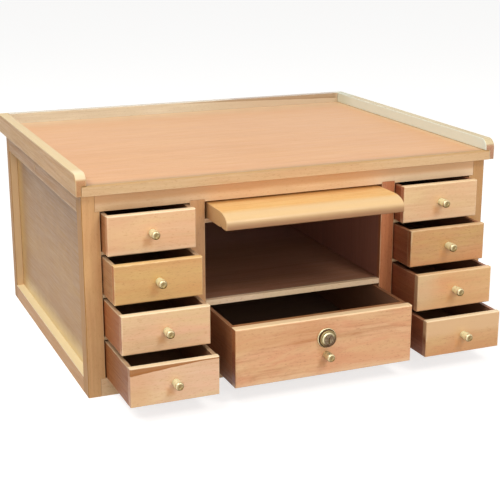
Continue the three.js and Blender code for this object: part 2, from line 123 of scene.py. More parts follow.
def put(tree, kind, feeds=None, **settings):
    made = tree.nodes.new(kind)
    for name, value in settings.items():
        setattr(made, name, value)
    for socket, value in (feeds or {}).items():
        if isinstance(value, bpy.types.NodeSocket):
            tree.links.new(value, made.inputs[socket])
        else:
            made.inputs[socket].default_value = value
    return made


def calc(tree, operation, *values, clamp=False):
    made = put(tree, "ShaderNodeMath", dict(enumerate(values)), operation=operation, use_clamp=clamp)
    return made.outputs[0]


def vector(tree, operation, *values):
    made = put(tree, "ShaderNodeVectorMath", dict(enumerate(values)), operation=operation)
    return made.outputs["Value" if operation in ("DOT_PRODUCT", "LENGTH") else "Vector"]


def stretch(tree, value, factor):
    return put(tree, "ShaderNodeVectorMath", {0: value, "Scale": factor}, operation="SCALE").outputs["Vector"]


def ease(tree, value, low, high, start=0.0, end=1.0):
    feeds = {0: value, 1: low, 2: high, 3: start, 4: end}
    return put(tree, "ShaderNodeMapRange", feeds, interpolation_type="SMOOTHSTEP").outputs[0]


def blend(tree, factor, first, second, mode="MIX"):
    feeds = {0: factor, 6: first, 7: second}
    return put(tree, "ShaderNodeMix", feeds, data_type="RGBA", blend_type=mode).outputs[2]


def cloud(tree, place, noise):
    feeds = {"Vector": place, "Scale": noise["scale"], "Detail": noise["detail"], "Roughness": noise["rough"]}
    return put(tree, "ShaderNodeTexNoise", feeds).outputs


def startGroup(name, takes, gives):
    group = bpy.data.node_groups.new(name, "ShaderNodeTree")
    for label, kind in takes.items():
        group.interface.new_socket(name=label, in_out="INPUT", socket_type="NodeSocket" + kind)
    for label, kind in gives.items():
        group.interface.new_socket(name=label, in_out="OUTPUT", socket_type="NodeSocket" + kind)
    return group, group.nodes.new("NodeGroupInput").outputs, group.nodes.new("NodeGroupOutput").inputs


def useGroup(tree, group, **feeds):
    return put(tree, "ShaderNodeGroup", feeds, node_tree=group).outputs


def startMaterial(name):
    made = bpy.data.materials.new(name)
    made.use_nodes = True
    made.node_tree.nodes.clear()
    return made, made.node_tree


def seenDirectly(tree):
    # 1 for what the camera sees, also in a reflection or through glass
    rays = tree.nodes.new("ShaderNodeLightPath").outputs
    seen = calc(tree, "MAXIMUM", rays["Is Camera Ray"], rays["Is Glossy Ray"])
    return calc(tree, "MAXIMUM", seen, rays["Is Transmission Ray"])


def tone(text):
    # an sRGB colour in linear light
    parts = [int(text[i:i + 2], 16) / 255 for i in (0, 2, 4)]
    return tuple(p / 12.92 if p <= 0.04045 else ((p + 0.055) / 1.055) ** 2.4 for p in parts) + (1.0,)


# World and floor

world = bpy.data.worlds.new("studioWorld")
bpy.context.scene.world = world
world.use_nodes = True
studio = world.node_tree
studio.nodes.clear()
fill = put(studio, "ShaderNodeBackground", {"Color": sky["fillTint"], "Strength": sky["fill"]})
plain = put(studio, "ShaderNodeBackground", {"Color": (1, 1, 1, 1), "Strength": sky["shown"]})
pick = put(studio, "ShaderNodeMixShader", {0: seenDirectly(studio), 1: fill.outputs[0], 2: plain.outputs[0]})
put(studio, "ShaderNodeOutputWorld", {"Surface": pick.outputs[0]})


def floorMaterial():
    mat, tree = startMaterial("paleFloor")
    matt = put(tree, "ShaderNodeBsdfDiffuse", {"Color": (ground["albedo"],) * 3 + (1.0,)})
    lift = calc(tree, "MULTIPLY", seenDirectly(tree), ground["lift"])
    glow = put(tree, "ShaderNodeEmission", {"Strength": lift})
    both = put(tree, "ShaderNodeAddShader", {0: matt.outputs[0], 1: glow.outputs[0]})
    put(tree, "ShaderNodeOutputMaterial", {"Surface": both.outputs[0]})
    return mat


half = ground["size"] / 2
floorMesh = bpy.data.meshes.new("paleFloor")
floorCorners = [(-half, -half, 0), (half, -half, 0), (half, half, 0), (-half, half, 0)]
floorMesh.from_pydata(floorCorners, [], [(0, 1, 2, 3)])
floorMesh.materials.append(floorMaterial())
floor = bpy.data.objects.new("paleFloor", floorMesh)
bpy.context.scene.collection.objects.link(floor)
print("stage ready")


# Beech: growth rings, streaks and ray flecks that run along one direction of a board

finishGives = {"Color": "Color", "Roughness": "Float", "Height": "Float"}
grainNoise = {  # clouds to a metre, and the share of the board's length that counts
    "wander": {"scale": 13.0, "along": 0.3, "detail": 3.0, "rough": 0.5},
    "broad": {"scale": 70.0, "along": 0.1, "detail": 4.0, "rough": 0.6},
    "fine": {"scale": 480.0, "along": 0.03, "detail": 3.0, "rough": 0.6},
    "fleck": {"scale": 800.0, "along": 0.25, "detail": 2.0, "rough": 0.7},
    "tint": {"scale": 36.0, "along": 0.2, "detail": 4.0, "rough": 0.65},
}
poreNoise = {"scale": 900.0, "detail": 2.0, "rough": 0.5}
grainLook = {  # a pair is where a change starts and ends, and a second pair what it changes between
    "late": (0.1, 0.8), "lateEnd": (0.8, 1.0, 1.0, 0.0), "ringStrength": (0.0, 1.0, 0.15, 1.0),
    "broad": 1.7, "level": 0.3, "fleck": (0.55, 0.72),
    "tintShift": (0.4, 0.2, 0.7), "pinker": (0.36, 0.68), "yellower": (0.4, 0.7),
    "endFacing": (0.86, 0.99), "pores": (0.3, 0.7, 0.75, 1.25),
    "roughness": (0.25, 0.75, 0.36, 0.54), "lateRelief": 0.35, "fleckRelief": 0.5,
}


def makeBoardGrain():
    takes = {
        "Position": "Vector", "Along": "Vector", "Normal": "Vector",
        "Pale": "Color", "Dark": "Color", "Blush": "Color", "Gold": "Color",
        "Figure": "Float", "Streak": "Float", "Drift": "Float", "Fleck": "Float",
        "RingGap": "Float", "Swirl": "Float", "EndShade": "Float", "EndTint": "Color",
    }
    group, take, give = startGroup("boardGrain", takes, finishGives)
    run = vector(group, "DOT_PRODUCT", take["Position"], take["Along"])
    lengthwise = stretch(group, take["Along"], run)
    across = vector(group, "SUBTRACT", take["Position"], lengthwise)

    def noise(kind, start):
        drawnOut = stretch(group, lengthwise, grainNoise[kind]["along"])
        return cloud(group, vector(group, "ADD", start, drawnOut), grainNoise[kind])

    # the rings wander slowly along the board
    wander = vector(group, "SUBTRACT", noise("wander", across)["Color"], (0.5, 0.5, 0.5))
    bent = vector(group, "ADD", across, stretch(group, wander, take["Swirl"]))
    rings = calc(group, "DIVIDE", vector(group, "LENGTH", bent), take["RingGap"])
    phase = calc(group, "FRACT", rings)
    number = put(group, "ShaderNodeTexWhiteNoise", {"W": calc(group, "FLOOR", rings)}, noise_dimensions="1D")
    late = ease(group, phase, *grainLook["late"])
    late = calc(group, "MULTIPLY", late, ease(group, phase, *grainLook["lateEnd"]))
    strength = ease(group, number.outputs["Value"], *grainLook["ringStrength"])
    late = calc(group, "MULTIPLY", late, strength)
    # broad and fine streaks
    broad = calc(group, "SUBTRACT", noise("broad", bent)[0], 0.5)
    fine = noise("fine", across)[0]
    streaks = calc(group, "MULTIPLY_ADD", broad, grainLook["broad"], calc(group, "SUBTRACT", fine, 0.5))
    fleck = ease(group, noise("fleck", across)[0], *grainLook["fleck"])
    streaks = calc(group, "MULTIPLY", streaks, take["Streak"])
    shade = calc(group, "MULTIPLY_ADD", late, take["Figure"], streaks)
    shade = calc(group, "ADD", shade, grainLook["level"], clamp=True)
    wood = blend(group, shade, take["Pale"], take["Dark"])
    # pinker and yellower patches
    tints = noise("tint", vector(group, "ADD", bent, grainLook["tintShift"]))["Color"]
    tints = put(group, "ShaderNodeSeparateColor", {0: tints}).outputs
    pinker = calc(group, "MULTIPLY", ease(group, tints[0], *grainLook["pinker"]), take["Drift"])
    yellower = calc(group, "MULTIPLY", ease(group, tints[1], *grainLook["yellower"]), take["Drift"])
    wood = blend(group, pinker, wood, take["Blush"])
    wood = blend(group, yellower, wood, take["Gold"])
    wood = blend(group, calc(group, "MULTIPLY", fleck, take["Fleck"]), wood, take["Dark"], "MULTIPLY")
    # end grain soaks up more lacquer and is darker
    facing = calc(group, "ABSOLUTE", vector(group, "DOT_PRODUCT", take["Normal"], take["Along"]))
    end = calc(group, "MULTIPLY", ease(group, facing, *grainLook["endFacing"]), take["EndShade"])
    pores = cloud(group, take["Position"], poreNoise)[0]
    end = calc(group, "MULTIPLY", end, ease(group, pores, *grainLook["pores"]))
    wood = blend(group, end, wood, take["EndTint"], "MULTIPLY")
    group.links.new(wood, give["Color"])
    group.links.new(ease(group, fine, *grainLook["roughness"]), give["Roughness"])
    raised = calc(group, "MULTIPLY_ADD", late, grainLook["lateRelief"], fine)
    relief = calc(group, "SUBTRACT", raised, calc(group, "MULTIPLY", fleck, grainLook["fleckRelief"]))
    group.links.new(relief, give["Height"])
    return group


# Wear: how near a point is to the arrises of its board, broken up by rubbing

rubNoise = {"scale": 60.0, "detail": 3.0, "rough": 0.6}
rubReach = (0.3, 0.7, 0.35, 1.35)


def depthInBox(group, take):
    under = vector(group, "SUBTRACT", take["Position"], take["Low"])
    over = vector(group, "SUBTRACT", take["High"], take["Position"])
    return vector(group, "MINIMUM", under, over)


def makeArrisWear():
    takes = {"Position": "Vector", "Low": "Vector", "High": "Vector", "Reach": "Float"}
    group, take, give = startGroup("arrisWear", takes, {"Mask": "Float"})
    gaps = put(group, "ShaderNodeSeparateXYZ", {0: depthInBox(group, take)}).outputs
    least = calc(group, "MINIMUM", gaps[0], gaps[1])
    most = calc(group, "MAXIMUM", gaps[0], gaps[1])
    middle = calc(group, "MAXIMUM", least, calc(group, "MINIMUM", most, gaps[2]))  # the face's own gap is nil
    patches = cloud(group, take["Position"], rubNoise)[0]
    reach = calc(group, "MULTIPLY", take["Reach"], ease(group, patches, *rubReach))
    worn = ease(group, calc(group, "DIVIDE", middle, reach), 0.0, 1.0)
    group.links.new(calc(group, "SUBTRACT", 1.0, worn), give["Mask"])
    return group


# A darker heartwood streak that starts thick and tapers out along a board

streakNoise = {"scale": 260.0, "detail": 3.0, "rough": 0.6}
streakForm = {
    "along": 0.03, "wobble": 0.4, "least": 0.1, "core": (0.4, 0.9), "edge": (0.92, 1.08, 1.0, 0.0),
    "start": (-0.03, 0.0), "end": (0.9, 1.05, 1.0, 0.0),
}


def makeHeartStreak():
    takes = {
        "Position": "Vector", "Start": "Vector", "Along": "Vector", "Rise": "Vector",
        "Length": "Float", "Width": "Float", "Taper": "Float", "Core": "Float",
    }
    group, take, give = startGroup("heartStreak", takes, {"Mask": "Float"})
    offset = vector(group, "SUBTRACT", take["Position"], take["Start"])
    ahead = vector(group, "DOT_PRODUCT", offset, take["Along"])
    run = calc(group, "DIVIDE", ahead, take["Length"])
    rise = vector(group, "DOT_PRODUCT", offset, take["Rise"])
    squeezed = vector(group, "SUBTRACT", offset, stretch(group, take["Along"], ahead))
    lengthwise = stretch(group, take["Along"], calc(group, "MULTIPLY", run, streakForm["along"]))
    squeezed = vector(group, "ADD", squeezed, lengthwise)
    wobble = calc(group, "SUBTRACT", cloud(group, squeezed, streakNoise)[0], 0.5)
    taper = calc(group, "POWER", calc(group, "SUBTRACT", 1.0, run, clamp=True), take["Taper"])
    width = calc(group, "MULTIPLY", take["Width"], calc(group, "MAXIMUM", streakForm["least"], taper))
    level = calc(group, "DIVIDE", calc(group, "ABSOLUTE", rise), width)
    level = calc(group, "MULTIPLY_ADD", wobble, streakForm["wobble"], level)
    body = ease(group, level, *streakForm["core"], take["Core"], 1.0)  # darkest along its outer edge
    mask = calc(group, "MULTIPLY", body, ease(group, level, *streakForm["edge"]))
    started = ease(group, run, *streakForm["start"])
    inside = calc(group, "MULTIPLY", started, ease(group, run, *streakForm["end"]))
    group.links.new(calc(group, "MULTIPLY", mask, inside), give["Mask"])
    return group


# A slow change of tone from one line to another across a board

fadeNoise = {"scale": 70.0, "detail": 2.0, "rough": 0.5}


def makeFade():
    takes = {"Position": "Vector", "Axis": "Vector", "From": "Float", "To": "Float", "Ragged": "Float"}
    group, take, give = startGroup("fade", takes, {"Mask": "Float"})
    level = vector(group, "DOT_PRODUCT", take["Position"], take["Axis"])
    ragged = calc(group, "SUBTRACT", cloud(group, take["Position"], fadeNoise)[0], 0.5)
    span = calc(group, "SUBTRACT", take["To"], take["From"])
    level = calc(group, "DIVIDE", calc(group, "SUBTRACT", level, take["From"]), span)
    level = calc(group, "MULTIPLY_ADD", ragged, take["Ragged"], level)
    group.links.new(ease(group, level, 0.0, 1.0), give["Mask"])
    return group


# A solid strip glued to the front of a board, with the glue line behind it

glueLine = {"colour": "3a2416", "amount": 0.75, "change": 0.2 * mm, "width": 0.7 * mm}


def makeLipping():
    takes = {"Position": "Vector", "Front": "Float", "Depth": "Float"}
    group, take, give = startGroup("lipping", takes, {"Behind": "Float", "Line": "Float"})
    place = put(group, "ShaderNodeSeparateXYZ", {0: take["Position"]}).outputs
    past = calc(group, "SUBTRACT", calc(group, "SUBTRACT", place[1], take["Front"]), take["Depth"])
    change = glueLine["change"]
    group.links.new(ease(group, past, -change, change), give["Behind"])
    line = ease(group, calc(group, "ABSOLUTE", past), change, glueLine["width"], 1.0, 0.0)
    group.links.new(line, give["Line"])
    return group


# A colour mixed in within a soft-edged box, for real tones and finishes and for painted light and shade: the
# deeper darkness inside the cavity and trays, knob shadows and a highlight

def makeBoxTint():
    takes = {"Position": "Vector", "Low": "Vector", "High": "Vector", "Soft": "Vector"}
    group, take, give = startGroup("boxTint", takes, {"Mask": "Float"})
    share = vector(group, "DIVIDE", depthInBox(group, take), take["Soft"])
    depth = put(group, "ShaderNodeSeparateXYZ", {0: share}).outputs
    least = calc(group, "MINIMUM", calc(group, "MINIMUM", depth[0], depth[1]), depth[2])
    group.links.new(ease(group, least, 0.0, 1.0), give["Mask"])
    return group


boardGrain = makeBoardGrain()
boxTint = makeBoxTint()
arrisWear = makeArrisWear()
heartStreak = makeHeartStreak()
lipping = makeLipping()
fade = makeFade()
print("shader groups ready")


# Boards

axes = {"x": (1.0, 0.0, 0.0), "y": (0.0, 1.0, 0.0), "z": (0.0, 0.0, 1.0)}


def shades(pale, dark, blush, gold):
    return {"pale": pale, "dark": dark, "blush": blush, "gold": gold}


plainWood = {
    **shades("dcb386", "b98450", "d3a070", "d8b07a"), "worn": "ecd0a4",
    "figure": 0.25, "streak": 0.8, "drift": 0.5, "fleck": 0.3, "ringGap": 0.0055, "swirl": 0.03, "pith": 0.05,
    "endShade": 0.5, "endTint": "b89878", "wear": 0.0016, "wearAmount": 0.4, "hiddenBack": 0.0, "bump": 0.2,
    "bumpDepth": 0.3 * mm, "gloss": 0.3, "coat": 0.3, "coatRoughness": 0.24, "arris": 0.5 * mm,
}
sawing = {"turn": 2.399963, "step": 0.37}  # from one board's place in the tree to the next

boardCount = 0


def cutFrom(along, pith, box):
    # each board is cut from its own place in the tree, this far from the pith
    global boardCount
    boardCount += 1
    angle = boardCount * sawing["turn"]
    first, second = [i for i in range(3) if axes[along][i] == 0.0]
    shift = -(box[0] + box[1]) / 2
    shift[first] += pith * math.cos(angle)
    shift[second] += pith * math.sin(angle)
    shift["xyz".index(along)] += sawing["step"] * boardCount
    return shift


def woodMaterial(name, look, along, box, *touches):
    look = {**plainWood, **look}
    low, high = Vector(box[0]), Vector(box[1])
    mat, tree = startMaterial(name)
    where = tree.nodes.new("ShaderNodeTexCoord").outputs
    grain = useGroup(
        tree, boardGrain, Along=axes[along], Normal=where["Normal"],
        Position=vector(tree, "ADD", where["Object"], cutFrom(along, look["pith"], (low, high))),
        Pale=tone(look["pale"]), Dark=tone(look["dark"]), Blush=tone(look["blush"]), Gold=tone(look["gold"]),
        Figure=look["figure"], Streak=look["streak"], Drift=look["drift"], Fleck=look["fleck"],
        RingGap=look["ringGap"], Swirl=look["swirl"],
        EndShade=look["endShade"], EndTint=tone(look["endTint"]),
    )
    wearHigh = high + Vector((0.0, look["hiddenBack"], 0.0))
    rubbed = useGroup(tree, arrisWear, Position=where["Object"], Low=low, High=wearHigh, Reach=look["wear"])
    rubbed = calc(tree, "MULTIPLY", rubbed["Mask"], look["wearAmount"])
    colour = blend(tree, rubbed, grain["Color"], tone(look["worn"]))
    for touch in touches:
        colour = touch(tree, where["Object"], colour)
    bump = put(tree, "ShaderNodeBump", {
        "Strength": look["bump"], "Distance": look["bumpDepth"], "Height": grain["Height"],
    })
    shader = put(tree, "ShaderNodeBsdfPrincipled", {
        "Base Color": colour, "Roughness": grain["Roughness"], "Normal": bump.outputs[0],
        "Specular IOR Level": look["gloss"],
        "Coat Weight": look["coat"], "Coat Roughness": look["coatRoughness"],
    })
    put(tree, "ShaderNodeOutputMaterial", {"Surface": shader.outputs[0]})
    return mat


# Touches that only some boards have

def tint(tree, mask, look, wood, mode="MIX"):
    return blend(tree, calc(tree, "MULTIPLY", mask, look["amount"]), wood, tone(look["colour"]), mode)


def tintedInBox(low, high, look):
    # inside a box, with soft edges in mm
    def touch(tree, place, wood):
        soft = Vector(look["soft"]) * mm
        mask = useGroup(tree, boxTint, Position=place, Low=low, High=high, Soft=soft)["Mask"]
        return tint(tree, mask, look, wood)
    return touch


def lipped(front, look):
    # behind a strip at the front
    def touch(tree, place, wood):
        strip = useGroup(tree, lipping, Position=place, Front=front, Depth=look["depth"])
        wood = tint(tree, strip["Behind"], look, wood, "MULTIPLY")
        return tint(tree, strip["Line"], glueLine, wood)
    return touch


def streaked(start, along, rise, look):
    def touch(tree, place, wood):
        mask = useGroup(
            tree, heartStreak, Position=place, Start=start, Along=along, Rise=rise,
            Length=look["length"], Width=look["width"], Taper=look["taper"], Core=look["core"],
        )["Mask"]
        return tint(tree, mask, look, wood)
    return touch


plainFade = {"ragged": 0.5}


def faded(axis, line, look, sign=1):
    # from nothing to all of it between two distances from a line, in mm
    look = {**plainFade, **look}
    start, end = (line + sign * distance * mm for distance in look["between"])

    def touch(tree, place, wood):
        mask = useGroup(
            tree, fade, Position=place, Axis=axes[axis], From=start, To=end, Ragged=look["ragged"],
        )["Mask"]
        return tint(tree, mask, look, wood)
    return touch


arrisForm = {"join": 0.01 * mm, "flat": math.radians(0.5), "sharp": math.radians(35), "segments": 2}


def makeTidyBoard():
    # joins the corners of the CAD facets and lets the faces shade smoothly
    group = bpy.data.node_groups.new("tidyBoard", "GeometryNodeTree")
    group.interface.new_socket(name="Geometry", in_out="INPUT", socket_type="NodeSocketGeometry")
    group.interface.new_socket(name="Geometry", in_out="OUTPUT", socket_type="NodeSocketGeometry")
    flow = group.nodes.new("NodeGroupInput").outputs[0]
    bare = put(group, "GeometryNodeRemoveAttribute", {"Geometry": flow, "Name": "custom_normal"})
    feeds = {"Geometry": bare.outputs[0], "Distance": arrisForm["join"]}
    joined = put(group, "GeometryNodeMergeByDistance", feeds)
    edges = put(group, "GeometryNodeSetShadeSmooth", {"Geometry": joined.outputs[0]}, domain="EDGE")
    faces = put(group, "GeometryNodeSetShadeSmooth", {"Geometry": edges.outputs[0]}, domain="FACE")
    put(group, "NodeGroupOutput", {0: faces.outputs[0]})
    return group


tidyBoard = makeTidyBoard()


def easeArrises(board, width):
    tidy = board.modifiers.new("tidy", "NODES")
    tidy.node_group = tidyBoard
    flat = board.modifiers.new("flatFaces", "DECIMATE")
    flat.decimate_type = "DISSOLVE"
    flat.angle_limit = arrisForm["flat"]
    soft = board.modifiers.new("arrises", "BEVEL")
    soft.width = width
    soft.segments = arrisForm["segments"]
    soft.limit_method = "ANGLE"
    soft.angle_limit = arrisForm["sharp"]
    soft.miter_outer = "MITER_ARC"
    normals = board.modifiers.new("normals", "WEIGHTED_NORMAL")
    normals.keep_sharp = False


def dress(name, look, along, *touches):
    board = nodes[name]
    board.material_slots[0].material = woodMaterial(name, look, along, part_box(name), *touches)
    easeArrises(board, look.get("arris", plainWood["arris"]))


# Case: posts, rails, side panels, partitions, shelf and runners

postLook = {
    **shades("e6ba8a", "c6915b", "daa571", "e2ba82"),
    "figure": 0.2, "streak": 0.6, "fleck": 0.2, "coat": 0.06, "gloss": 0.12,
}
rightPostLook = {**postLook, **shades("d2a677", "b2804b", "c7935f", "cea66f")}
postTones = {
    # painted shade: the outer side faces of the posts darker
    "side": {"colour": "a8742c", "amount": 0.9, "between": (1.2, 0.3)},
    # painted light: the rear post's front-facing reveal paler
    "reveal": {"colour": "e9cca3", "amount": 0.9, "between": (1.2, 0.3)},
}
railLook = {**shades("eac89e", "d2a678", "e8b88e", "e6c490"), "figure": 0.2}
railTones = {
    "left": {"colour": "c48c5c", "amount": 0.25, "between": (-140, -250)},
    "right": {"colour": "f6e0c4", "amount": 0.35, "between": (40, 130)},
    # painted shadow on the rail under the edging's overhang
    "shade": {"colour": "d0965a", "amount": 0.6, "between": (-15, -9), "ragged": 0.2},
}
runnerLook = {**railLook, "arris": 0.4 * mm}
sideRailLook = {**shades("ce9a5b", "b17639", "c68c4b", "ce9e5b"), "figure": 0.2, "coat": 0.1, "gloss": 0.16}
# painted shade: a darker copy of the side rail wood for the top rails, under the lip's overhang
shadedTopRailLook = {**sideRailLook, **shades("b58b56", "9c6936", "af7e48", "b58e56")}
# painted light: the up-facing top of the bottom side rail made pale
ledgeLight = {"colour": "faeabe", "amount": 0.95, "between": (-1.6, -0.4)}
panelLook = {
    **shades("b2854b", "9e713d", "aa7b44", "b68949"),
    "figure": 0.0, "streak": 0.12, "drift": 0.7, "fleck": 0.12, "swirl": 0.08,
    "wearAmount": 0.1, "bump": 0.06, "coat": 0.12, "gloss": 0.2, "arris": 0.3 * mm,
}
panelTones = {
    # painted shade: the side panels darker towards the top, under the rail and lip
    "shade": {"colour": "7c562c", "amount": 0.55, "between": (100, 240)},
    # painted light: the left panel paler just above the ledge
    "glow": {"colour": "f0d6a2", "amount": 0.85, "between": (28, 2), "ragged": 0.25},
    # painted light: the left panel paler beside the rear post, where shade falls
    "rear": {"colour": "d0aa74", "amount": 0.8, "between": (-45, -5), "ragged": 0.25},
}
dividerLook = {**panelLook, **shades("e0c49c", "c8a478", "d6b48a", "dcbc8c")}
stileLook = {**shades("d6a474", "b07846", "c88f5c", "d0a068"), "figure": 0.2}
# painted shade: a darker, redder copy of the stile wood for the right partition, which the right drawers
# shade
shadedRightStileLook = {**stileLook, **shades("cc8459", "a05d34", "c07348", "c48050")}
# the shelf's pale tone, seen at its front strip, is raised as painted light where the armrest shades it
shelfLook = {
    **shades("f8dcbe", "dcb892", "eccea8", "f0d6ac"),
    "streak": 1.2, "fleck": 0.5, "coat": 0.12, "arris": 0.4 * mm,
}
shelfStrip = {"colour": "ab8e87", "amount": 1.0, "depth": 8 * mm}
# painted shade: the shelf darker deeper into the cavity
shelfBackShade = {"colour": "c09085", "amount": 0.9, "between": (20, 130), "ragged": 0.2}
backLook = {
    **panelLook, "pale": "c49a70", "dark": "a07a54", "blush": "b4885e", "streak": 0.5, "arris": 0.4 * mm,
}
bottomLook = {**panelLook, "pale": "b8906a", "dark": "96704c", "blush": "a88058"}
# the cavity's inner faces darker: partly a darker finish, partly painted shade
cavityLook = {
    "colour": "9d7470", "amount": 0.6, "soft": (1, 8, 0.5), "halfWidth": 121.5 * mm, "top": 253.5 * mm,
    "front": 1.5 * mm, "rear": 2 * mm, "under": 1 * mm,
}

low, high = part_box("cavity_shelf")
shelfFront = low.y
cavityLow = Vector((-cavityLook["halfWidth"], shelfFront + cavityLook["front"], high.z - cavityLook["under"]))
cavityHigh = Vector((cavityLook["halfWidth"], high.y + cavityLook["rear"], cavityLook["top"]))
cavityFinishAndShade = tintedInBox(cavityLow, cavityHigh, cavityLook)

for side, sign in banks.items():
    left = side == "left"
    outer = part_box(side + "_front_post")[0 if left else 1].x
    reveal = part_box(side + "_rear_post")[0].y
    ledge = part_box(side + "_side_bottom_rail")[1].z
    outerSideShade = faded("x", outer, postTones["side"], -sign)
    dress(side + "_front_post", postLook if left else rightPostLook, "z", outerSideShade)
    dress(side + "_rear_post", postLook, "z", faded("y", reveal, postTones["reveal"]), outerSideShade)
    dress(side + "_side_top_rail", shadedTopRailLook, "y")
    dress(side + "_side_bottom_rail", sideRailLook, "y", faded("z", ledge, ledgeLight))
    panelTouches = [faded("z", 0.0, panelTones["shade"])]
    if left:
        panelTouches += [faded("z", ledge, panelTones["glow"]), faded("y", reveal, panelTones["rear"])]
    dress(side + "_side_panel", panelLook, "y", *panelTouches)
    dress(side + "_armrest_runner", runnerLook, "y", cavityFinishAndShade)
    dress(side + "_partition", stileLook if left else shadedRightStileLook, "z", cavityFinishAndShade)
    for level in dividers:
        dress(f"{side}_divider_{level}", dividerLook, "x")

edgingLow, edgingHigh = (corner.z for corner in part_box("front_edging"))
dress(
    "front_top_rail", railLook, "x", faded("x", 0.0, railTones["left"]), faded("x", 0.0, railTones["right"]),
    faded("z", edgingLow, railTones["shade"]),
)
dress("front_bottom_rail", railLook, "x")
dress("bottom_panel", bottomLook, "y")
dress("back_panel", backLook, "z")
dress("cavity_shelf", shelfLook, "x", lipped(shelfFront, shelfStrip), faded("y", 0.0, shelfBackShade))
print("case dressed")


# Work top, its edging and its lips

topLook = {
    **shades("e4b080", "cc9260", "dea676", "e4b27e"),
    "figure": 0.14, "streak": 0.35, "fleck": 0.2, "ringGap": 0.009, "swirl": 0.06,
    "wearAmount": 0.0, "bump": 0.12, "coat": 0.05, "gloss": 0.2, "arris": 0.3 * mm,
}
topTones = {
    "right": {"colour": "ecb98c", "amount": 0.3, "between": (-50, 200)},
    "far": {"colour": "ecb98c", "amount": 0.35, "between": (-50, 200)},
    # painted light: the top paler along the rear lip, where the lip shades and tints it
    "rear": {"colour": "e0be99", "amount": 0.9, "between": (-60, 0), "ragged": 0.1},
    # painted light: the top paler along the right lip, where the lip shades it
    "side": {"colour": "e2bf95", "amount": 0.9, "between": (-14, 0), "ragged": 0.1},
    "front": {"colour": "ca9b74", "amount": 0.6, "between": (13, 2), "ragged": 0.2},
}
edgingLook = {
    **shades("dfbb90", "c69969", "d9ad84", "d9b98d"),
    "figure": 0.25, "coat": 0.1, "gloss": 0.15, "arris": 0.4 * mm,
}
edgingTones = {
    "right": {"colour": "e6c69c", "amount": 0.2, "between": (60, 150)},
    "top": {"colour": "b8915f", "amount": 0.8, "between": (-2.6, -1)},
}
leftLipLook = {
    **shades("ca9c63", "ad7e45", "bf915b", "c59e63"), "worn": "f6e4ba",
    "figure": 0.2, "streak": 0.8, "endShade": 0.9, "endTint": "f7eaff",
    "coat": 0.1, "gloss": 0.2, "arris": 0.9 * mm,
}
# painted light: the left lip's top face paler than its sides
leftLipTopLight = {"colour": "e8d1a0", "amount": 0.8, "between": (-2.4, -0.6)}
# painted highlight on the rounded front end of the left lip
noseHighlight = {
    "colour": "f3e1bc", "amount": 0.8, "soft": (0.6, 20, 4), "low": (0.2, -14, -9), "high": (1, 30, 4),
}
rightLipLook = {**leftLipLook, **shades("e5d4b1", "c4af84", "d9c8a2", "dfcda2"), "endTint": "d4a6a5"}
outerLipTone = {"colour": "c99c68", "amount": 0.6, "between": (-1.6, -0.4)}
rightLipTones = {
    # painted light: the right lip's inner face made pale
    "inner": {"colour": "e9efe1", "amount": 0.9, "between": (1.2, 0.3)},
    "rear": {"colour": "d8d9c2", "amount": 0.9, "between": (-60, -15), "ragged": 0.2},
}
rearLipLook = {
    **leftLipLook, **shades("e2d6be", "bfac8c", "d4c6a8", "dccfb0"),
    "streak": 0.9, "endTint": "d0a08c", "gloss": 0.5, "coat": 0.8,
}
rearLipTone = {"colour": "ccb293", "amount": 0.7, "between": (-270, -130), "ragged": 0.3}
lipStreak = {
    "colour": "8a6438", "amount": 0.7, "start": (-12, 0, -1.5), "length": 260 * mm, "width": 6.5 * mm,
    "taper": 1.3, "core": 0.7,
}

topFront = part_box("work_top")[0].y
leftLow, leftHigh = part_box("left_lip")
rightLow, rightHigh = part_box("right_lip")
rearLow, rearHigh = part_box("rear_lip")
dress(
    "work_top", topLook, "x", faded("x", 0.0, topTones["right"]), faded("y", 0.0, topTones["far"]),
    faded("y", rearLow.y, topTones["rear"]), faded("x", rightLow.x, topTones["side"]),
    faded("y", topFront, topTones["front"]),
)
edgingTouches = [faded("x", 0.0, edgingTones["right"]), faded("z", edgingHigh, edgingTones["top"])]
dress("front_edging", edgingLook, "x", *edgingTouches)
noseLow = Vector((leftLow.x, leftLow.y, leftHigh.z)) + Vector(noseHighlight["low"]) * mm
noseHigh = Vector((leftHigh.x, leftLow.y, leftHigh.z)) + Vector(noseHighlight["high"]) * mm
dress("left_lip", leftLipLook, "y", faded("z", leftHigh.z, leftLipTopLight), tintedInBox(noseLow, noseHigh, noseHighlight))
dress(
    "right_lip", rightLipLook, "y", faded("x", rightLow.x, rightLipTones["inner"]),
    faded("y", rearLow.y, rightLipTones["rear"]), faded("x", rightHigh.x, outerLipTone),
)
streakStart = Vector((rearHigh.x, rearLow.y, rearHigh.z)) + Vector(lipStreak["start"]) * mm
dress(
    "rear_lip", rearLipLook, "x", faded("x", rearHigh.x, rearLipTone),
    streaked(streakStart, (-1, 0, 0), (0, 0, 1), lipStreak), faded("y", rearHigh.y, outerLipTone),
)
print("work top dressed")


# Armrest board

armrestLook = {
    **shades("f2c682", "d2944c", "e8ae64", "f0ca86"), "worn": "f8deae",
    "figure": 0.35, "streak": 0.8, "ringGap": 0.008, "endShade": 0.6, "endTint": "d6d2ca", "coat": 0.4,
}
armrestTones = {
    # painted highlight: the front of the armrest paler over its rounded nose
    "brow": {"colour": "e0bf8e", "amount": 0.8, "between": (24, 10), "ragged": 0.2},
    # painted shade: the armrest darker towards its underside, low on the nose
    "edge": {"colour": "93623b", "amount": 0.9, "between": (13.5, 2), "ragged": 0.1},
    "end": {"colour": "cca473", "amount": 0.85, "between": (1.2, 0.3)},
}
low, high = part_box("armrest_board")
dress(
    "armrest_board", armrestLook, "x",
    faded("y", low.y, armrestTones["brow"]), faded("z", low.z, armrestTones["edge"]),
    faded("x", low.x, armrestTones["end"]), faded("x", high.x, armrestTones["end"], -1),
)
print("armrest dressed")


# Drawer fronts, each from its own board

